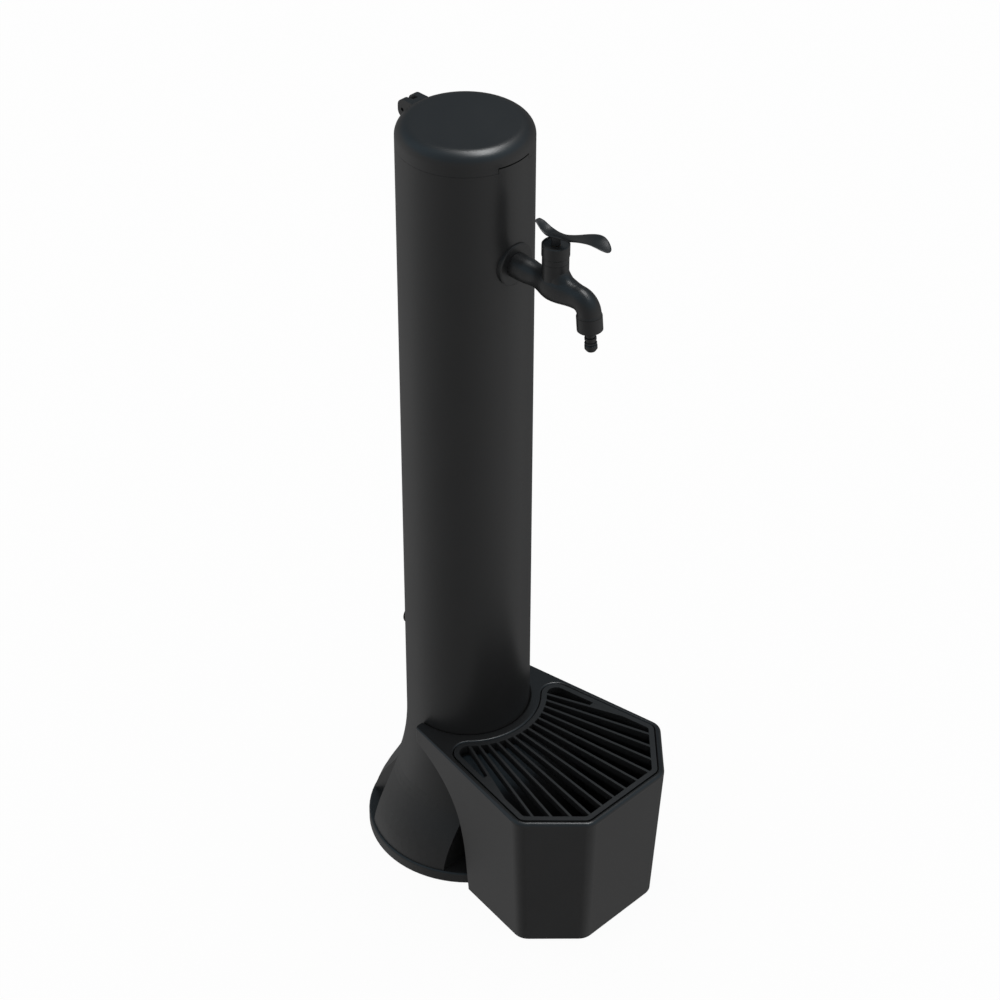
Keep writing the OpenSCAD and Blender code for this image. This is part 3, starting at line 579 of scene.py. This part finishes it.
@dataclass
class Column(Assembly):
    """The hollow column with its foot, and the hinged lid on it."""

    nodes: dict[str, str] = field(default_factory=lambda: {"lid_hinge_pin": "plain_steel"})
    edge_round: float = 0.3 * MM
    sharp_from: float = 30.0
    # Height of each level of the foot and how far its outer skin is pushed out there, in millimetres
    foot_swell: tuple[tuple[float, float], ...] = (
        (15.0, 4.9), (21.0, 6.4), (28.0, 7.3), (36.0, 7.6), (44.0, 7.4), (52.0, 6.6), (60.0, 5.5),
        (68.0, 4.2), (76.0, 2.9), (84.0, 1.6), (92.0, 0.6), (100.0, 0.0),
    )
    skin_depth: float = 2.6 * MM
    flare_foot: float = 118.0 * MM
    rim_z: float = 968.0 * MM
    tongue_rise: float = 1.1 * MM

    def build(self) -> None:
        """Rounds the edges of the column and the lid, and dresses the pin."""
        self.dress_nodes()
        for node, shape in (("column", self.shape_column), ("lid", self.shape_lid)):
            skin = skin_of(node, node + "_skin", shape)
            soften(skin, self.edge_round)
            self.place(skin, node, node, node + "_moulding", node + "_plastic")

    def shape_lid(self, work: Mesh) -> None:
        """Keeps the lid's shape and shades it."""
        shade(work, self.sharp_from)

    def shape_column(self, work: Mesh) -> None:
        """Narrows the slot over the rim's tongue, and fills the foot.

        Args:
            work: The merged skin of the column.
        """
        for vert in work.verts:
            if vert.co.y < 0.0 and vert.co.z > self.rim_z + self.tongue_rise:
                vert.co.z += self.tongue_rise
        self.fill_foot(work)
        shade(work, self.sharp_from)

    def fill_foot(self, work: Mesh) -> None:
        """Swells the flare's outer skin, so that it runs full into the disc's edge.

        Args:
            work: The merged skin of the column.
        """
        levels = [height * MM for height, _ in self.foot_swell]
        for level in levels[1:]:
            cut_across(work, (0.0, 0.0, level), (0.0, 0.0, 1.0))
        rings = [self.outer_reach(work, level, math.inf) for level in levels]
        rings[0] = self.outer_reach(work, levels[0], self.flare_foot)
        for vert in work.verts:
            if not levels[0] - NEAR < vert.co.z < levels[-1]:
                continue
            step = max(k for k, level in enumerate(levels) if level <= vert.co.z + NEAR)
            share = (vert.co.z - levels[step]) / (levels[step + 1] - levels[step])
            ring = rings[step] + (rings[step + 1] - rings[step]) * share
            reach = math.hypot(vert.co.x, vert.co.y)
            if abs(reach - ring) > self.skin_depth:
                continue
            out = [self.foot_swell[k][1] * MM for k in (step, step + 1)]
            self.push_out(vert, reach + out[0] + (out[1] - out[0]) * share)

    @staticmethod
    def outer_reach(work: Mesh, level: float, limit: float) -> float:
        """Finds the outermost point on a level.

        Args:
            work: The merged skin of the column.
            level: The height of the level.
            limit: Points this far from the axis and further don't count.

        Returns:
            The point's distance from the axis.
        """
        return max(
            reach for vert in work.verts
            if abs(vert.co.z - level) < NEAR and (reach := math.hypot(vert.co.x, vert.co.y)) < limit
        )

    @staticmethod
    def push_out(vert: bmesh.types.BMVert, reach: float) -> None:
        """Moves a point out to a radius along x or y, so that the pockets' walls stay plane.

        Args:
            vert: The point.
            reach: Its new distance from the axis.
        """
        x, y = vert.co.x, vert.co.y
        if abs(x) > abs(y):
            vert.co.x = math.copysign(math.sqrt(reach * reach - y * y), x)
        else:
            vert.co.y = math.copysign(math.sqrt(reach * reach - x * x), y)


@dataclass
class Bucket(Assembly):
    """The drip bucket and its grate."""

    sharp_from: float = 28.0
    # The rounds on the rim: inside on the recess and the mouth, and outside on the chamfer
    rim_round: float = 2.8 * MM
    rim_angles: tuple[float, float] = (60.0, 120.0)
    outer_round: float = 1.8 * MM
    outer_angles: tuple[float, float] = (25.0, 60.0)
    round_faces: int = 5
    rim_depth: float = 3.2 * MM
    round_from: float = -60.0 * MM
    # The outer chamfer, which widens from the first y to the second
    chamfer_depth: float = 1.5 * MM
    outer_grow: float = 1.8 * MM
    grow_from: float = -20.0 * MM
    grow_to: float = -70.0 * MM
    # The lip's wall round the column: its radius in the solid, and the one shown
    mouth_r: float = 77.4 * MM
    mouth_seen_r: float = 75.3 * MM
    lip_z: float = 183.0 * MM
    # The web in each outermost slot: y of its two ends, and the outer and inner x at each
    web_y: tuple[float, float] = (-120.5 * MM, -160.0 * MM)
    web_near: tuple[float, float] = (98.0 * MM, 86.9 * MM)
    web_far: tuple[float, float] = (105.0 * MM, 102.4 * MM)
    web_drop: float = 0.1 * MM
    bar_round: float = 0.45 * MM

    def build(self) -> None:
        """Builds the bucket's shell and its grate with rounded edges."""
        shell = skin_of("bucket", "bucket_shell", self.round_rim)
        keep_flats(shell)
        self.place(shell, "bucket", "bucket", "bucket_moulding", "bucket_plastic")
        grate = skin_of("grate", "grate_bars", self.close_end_slots)
        soften(grate, self.bar_round)
        self.place(grate, "grate", "grate", "grate_moulding", "grate_plastic")

    def close_end_slots(self, work: Mesh) -> None:
        """Closes the thin ends of the two outermost slots with webs flush with the bars.

        Args:
            work: The merged skin of the grate.
        """
        low = min(vert.co.z for vert in work.verts)
        high = max(vert.co.z for vert in work.verts) - self.web_drop
        for side in (-1.0, 1.0):
            for vert in bmesh.ops.create_cube(work, size=1.0)["verts"]:
                near = vert.co.y > 0.0
                edge = (self.web_near if near else self.web_far)[0 if vert.co.x > 0.0 else 1]
                y = self.web_y[0 if near else 1]
                vert.co = Vector((edge * side, y, high if vert.co.z > 0.0 else low))
        bmesh.ops.recalc_face_normals(work, faces=work.faces)
        shade(work, self.sharp_from)

    def round_rim(self, work: Mesh) -> None:
        """Rounds the upper edges of the recess and the mouth, and the chamfer outside them.

        Args:
            work: The merged skin of the bucket.
        """
        top = max(vert.co.z for vert in work.verts)
        work.normal_update()
        self.close_mouth(work)
        self.grow_chamfer(work, top)
        for offset, angles, ahead in (
            (self.rim_round, self.rim_angles, math.inf),
            (self.outer_round, self.outer_angles, self.round_from),
        ):
            chosen = [
                edge for edge in self.rim_edges(work, top - self.rim_depth, angles)
                if all(vert.co.y < ahead for vert in edge.verts)
            ]
            bmesh.ops.bevel(
                work, geom=chosen, offset=offset, segments=self.round_faces, profile=0.5,
                affect="EDGES", material=-1, clamp_overlap=True,
            )
        shade(work, self.sharp_from)

    @staticmethod
    def rim_edges(
        work: Mesh, above: float, angles: tuple[float, float]
    ) -> list[bmesh.types.BMEdge]:
        """Finds the rim's edges whose faces meet at an angle within a range.

        Args:
            work: The merged skin of the bucket.
            above: The height that the edges lie above.
            angles: The least and the greatest angle in degrees.

        Returns:
            The edges.
        """
        low, high = angles
        return [
            edge for edge in work.edges
            if all(vert.co.z > above for vert in edge.verts)
            and low < math.degrees(edge.calc_face_angle(0.0)) < high
        ]

    def close_mouth(self, work: Mesh) -> None:
        """Brings the lip's wall close to the column.

        Args:
            work: The merged skin of the bucket.
        """
        for vert in work.verts:
            reach = math.hypot(vert.co.x, vert.co.y)
            if vert.co.z > self.lip_z and abs(reach - self.mouth_r) < NEAR:
                vert.co.x *= self.mouth_seen_r / reach
                vert.co.y *= self.mouth_seen_r / reach

    def grow_chamfer(self, work: Mesh, top: float) -> None:
        """Widens the narrow outer chamfer away from the horns, to make room for a full round.

        Args:
            work: The merged skin of the bucket.
            top: The height of the rim.
        """
        edges = self.rim_edges(work, top - self.chamfer_depth, self.outer_angles)
        moves = []
        for vert in {vert for edge in edges for vert in edge.verts}:
            share = min(1.0, max(0.0, (vert.co.y - self.grow_from) / (self.grow_to - self.grow_from)))
            if vert.co.z < top - NEAR:
                moves.append((vert, Vector((0.0, 0.0, -self.outer_grow * share))))
            else:
                out = Vector((vert.normal.x, vert.normal.y, 0.0)).normalized()
                moves.append((vert, out * -self.outer_grow * share))
        for vert, move in moves:
            vert.co += move


@dataclass
class Tap(Assembly):
    """The bib tap: body, bonnet, rosette, lever and cartridge."""

    nodes: dict[str, str] = field(
        default_factory=lambda: {
            "tap_body": "tap_moulding",
            "tap_rosette": "tap_moulding",
            "tap_bonnet": "tap_moulding",
            "tap_spindle": "yellow_brass",
            "disc_cage": "yellow_brass",
            "handle_grub_screw": "plain_steel",
            "spindle_o_rings": "black_rubber",
            "seat_seal": "black_rubber",
            "turning_disc": "white_ceramic",
            "fixed_disc": "white_ceramic",
        }
    )
    sharp_from: float = 62.0

    def build(self) -> None:
        """Dresses the tap's nodes, and smooths the lever."""
        self.dress_nodes()
        lever = skin_of("tap_handle", "lever_skin", self.smooth_lever)
        keep_flats(lever)
        self.place(lever, "tap_handle", "lever", "lever_moulding_painted_reflection", "tap_plastic")

    def smooth_lever(self, work: Mesh) -> None:
        """Shades the dished lever as one soft shape."""
        shade(work, self.sharp_from)


@dataclass
class Pipework(Assembly):
    """The hose connector under the spout and the pipes inside the column."""

    nodes: dict[str, str] = field(
        default_factory=lambda: {
            "hose_connector": "tap_moulding",
            "connector_washer": "black_rubber",
            "connector_o_ring": "black_rubber",
            "wall_washer": "black_rubber",
            "wall_nut": "yellow_brass",
            "inner_elbow": "yellow_brass",
            "riser_hose": "braided_steel",
            "hose_ferrules": "plain_steel",
            "hose_nuts": "yellow_brass",
            "hose_washers": "black_rubber",
            "inlet_gasket": "black_rubber",
            "inlet_lock_nut": "yellow_brass",
        }
    )
    thread_length: float = 14.5 * MM
    thread_pitch: float = 1.81 * MM
    thread_depth: float = 0.9 * MM
    skin_depth: float = 0.1 * MM
    root_near: float = 0.01 * MM
    sharp_from: float = 30.0

    def build(self) -> None:
        """Dresses the connector and the pipework, and cuts the inlet's thread."""
        self.dress_nodes()
        fitting = skin_of("inlet_fitting", "inlet_threaded", self.cut_thread)
        self.place(fitting, "inlet_fitting", "column", "blackened_brass", "brass")

    def cut_thread(self, work: Mesh) -> None:
        """Turns the inlet's plain end into a thread of round crests and roots.

        Args:
            work: The merged skin of the fitting.
        """
        far = max(vert.co.y for vert in work.verts)
        height = sum(vert.co.z for vert in work.verts) / len(work.verts)
        radius = max(
            math.hypot(vert.co.x, vert.co.z - height) for vert in work.verts
            if vert.co.y > far - self.skin_depth
        )
        step = self.thread_pitch / 2
        planes = [far - (k + 1) * step for k in range(int(self.thread_length / step))]
        for place in planes:
            cut_across(work, (0.0, place, 0.0), (0.0, 1.0, 0.0))
        roots = planes[::2]
        for vert in work.verts:
            reach = math.hypot(vert.co.x, vert.co.z - height)
            on_root = any(abs(vert.co.y - place) < self.root_near for place in roots)
            if on_root and reach >= radius - self.skin_depth:
                share = 1 - self.thread_depth / reach
                vert.co.x *= share
                vert.co.z = height + (vert.co.z - height) * share
        shade(work, self.sharp_from)


@dataclass(frozen=True)
class Lamp:
    """One soft light of the studio, seen in mirrors only and aimed at a point on the fountain."""

    name: str
    place: tuple[float, float, float]
    aim: tuple[float, float, float]
    width: float
    height: float
    watts: float
    long_axis: tuple[float, float, float]

    def build(self) -> None:
        """Adds the lamp to the scene."""
        data = bpy.data.lights.new(self.name, "AREA")
        data.shape = "RECTANGLE"
        data.size = self.width
        data.size_y = self.height
        data.energy = self.watts
        lamp = bpy.data.objects.new(self.name, data)
        bpy.context.scene.collection.objects.link(lamp)
        out = (Vector(self.place) - Vector(self.aim)).normalized()
        side = Vector(self.long_axis).cross(out).normalized()
        turn = Matrix((side, out.cross(side), out)).transposed().to_4x4()
        lamp.matrix_world = Matrix.Translation(self.place) @ turn
        lamp.visible_diffuse = False


@dataclass(frozen=True)
class Studio:
    """The camera at the photograph's angle, the floor, the lamp and the world."""

    camera_place: tuple[float, float, float] = (-1.7812, -1.8032, 2.4122)
    azimuth: float = -45.52
    elevation: float = 37.11
    roll: float = 0.21
    lens: float = 98.9
    sensor: float = 36.0
    half_pixel: float = 0.0005
    view_depth: float = 50.0
    floor_size: float = 24.0
    floor_gap: float = 0.2 * MM
    floor_colour: tuple[float, float, float] = (0.8, 0.8, 0.8)
    floor_white: float = 0.95
    # The world as diffuse surfaces see it
    world_level: float = 0.95
    # The world as mirrors see it: dim in front, behind and far below, bright at the sides, bluer above
    dim_level: float = 0.32
    bright_level: float = 0.66
    dim_direction: tuple[float, float, float] = (-0.887, -0.461, 0.0)
    behind_from: float = 0.1
    behind_share: float = 0.45
    low_from: float = -0.5
    low_to: float = -0.72
    low_share: float = 0.66
    zenith_from: float = 0.15
    zenith_to: float = 0.5
    zenith_colour: tuple[float, float, float] = (0.62, 0.95, 1.2)
    softbox: Lamp = Lamp(
        "overhead_softbox", place=(0.5, -0.22, 2.9), aim=(0.0, 0.0, 0.9), width=0.6, height=1.5,
        watts=45.0, long_axis=(-0.431, -0.903, 0.0),
    )

    def build(self) -> None:
        """Builds the whole studio."""
        self.add_camera()
        self.add_floor()
        self.add_world()
        self.softbox.build()
        bpy.context.scene.view_settings.view_transform = "Standard"

    def add_camera(self) -> None:
        """Adds the camera from its place and its three angles."""
        turn, tilt, roll = (math.radians(angle) for angle in (self.azimuth, self.elevation, self.roll))
        back = Vector(
            (math.sin(turn) * math.cos(tilt), -math.cos(turn) * math.cos(tilt), math.sin(tilt))
        )
        level = Vector((math.cos(turn), math.sin(turn), 0.0))
        upright = back.cross(level)
        right = level * math.cos(roll) + upright * math.sin(roll)
        up = back.cross(right)
        data = bpy.data.cameras.new("camera")
        data.lens = self.lens
        data.sensor_width = self.sensor
        data.clip_end = self.view_depth
        data.shift_x = -self.half_pixel
        data.shift_y = self.half_pixel
        camera = bpy.data.objects.new("camera", data)
        bpy.context.scene.collection.objects.link(camera)
        facing = Matrix((right, up, back)).transposed().to_4x4()
        camera.matrix_world = Matrix.Translation(self.camera_place) @ facing
        bpy.context.scene.camera = camera

    def add_floor(self) -> None:
        """Adds the pale floor, which keeps a faint shadow."""
        work = bmesh.new()
        bmesh.ops.create_grid(work, x_segments=1, y_segments=1, size=self.floor_size / 2)
        floor = new_object("floor", work)
        floor.location.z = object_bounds()[0].z - self.floor_gap
        floor.visible_glossy = False
        floor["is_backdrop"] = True
        material = bpy.data.materials.new("floor_paint")
        sheet = blank_sheet(material)
        paint = sheet.add("BsdfDiffuse", Color=(*self.floor_colour, 1.0))
        white = sheet.add("Emission", Color=WHITE, Strength=1.0)
        path = sheet.add("LightPath")
        share = sheet.maths("MULTIPLY", path.outputs["Is Camera Ray"], self.floor_white)
        seen = sheet.mix(share, paint, white)
        sheet.join(seen.outputs[0], sheet.add("OutputMaterial").inputs["Surface"])
        floor.data.materials.append(material)

    def add_world(self) -> None:
        """Adds the world: white for the camera, a soft studio in mirrors, plain light elsewhere."""
        world = bpy.data.worlds.new("studio")
        bpy.context.scene.world = world
        sheet = blank_sheet(world)
        path = sheet.add("LightPath")
        direction = sheet.add("TexCoord").outputs["Generated"]
        rise = sheet.along(direction, (0.0, 0.0, 1.0))
        high = sheet.spread(rise, 0.0, 1.0, self.zenith_from, self.zenith_to, smooth=True)
        plain = sheet.add("Background", Color=WHITE, Strength=self.world_level)
        soft = sheet.add("Background")
        sheet.join(sheet.tint(high, WHITE, (*self.zenith_colour, 1.0)), soft.inputs["Color"])
        sheet.join(self.falloff(sheet, direction, rise), soft.inputs["Strength"])
        white = sheet.add("Background", Color=WHITE, Strength=1.0)
        mirror = sheet.maths("MAXIMUM", path.outputs["Is Glossy Ray"], path.outputs["Is Transmission Ray"])
        both = sheet.mix(path.outputs["Is Camera Ray"], sheet.mix(mirror, plain, soft), white)
        sheet.join(both.outputs[0], sheet.add("OutputWorld").inputs["Surface"])

    def falloff(self, sheet: Sheet, direction: Socket, rise: Socket) -> Socket:
        """Dims the studio in front, behind and far below, and leaves its two sides bright.

        Args:
            sheet: The sheet of the world's tree.
            direction: The direction of the ray.
            rise: The ray's share along the upright.

        Returns:
            The output that holds the level.
        """
        flat = sheet.add("VectorMath", operation="MULTIPLY")
        flat.inputs[1].default_value = (1.0, 1.0, 0.0)
        sheet.join(direction, flat.inputs[0])
        unit = sheet.add("VectorMath", operation="NORMALIZE")
        sheet.join(flat.outputs[0], unit.inputs[0])
        across = sheet.along(unit.outputs[0], self.dim_direction)
        sides = sheet.spread(sheet.maths("MULTIPLY", across, across), self.bright_level, self.dim_level)
        turn = math.radians(self.azimuth)
        away = sheet.along(unit.outputs[0], (-math.sin(turn), math.cos(turn), 0.0))
        behind = sheet.spread(away, 1.0, self.behind_share, self.behind_from, smooth=True)
        low = sheet.spread(rise, self.low_share, 1.0, self.low_to, self.low_from)
        return sheet.maths("MULTIPLY", sheet.maths("MULTIPLY", sides, behind), low)


def main() -> None:
    """Builds the studio and every sub-assembly in order."""
    logging.basicConfig(level=logging.INFO, format="%(name)s: %(message)s")
    palette = Palette()
    Studio().build()
    for assembly in (Column(palette), Bucket(palette), Tap(palette), Pipework(palette)):
        assembly.build()


if __name__ == "__main__":
    main()
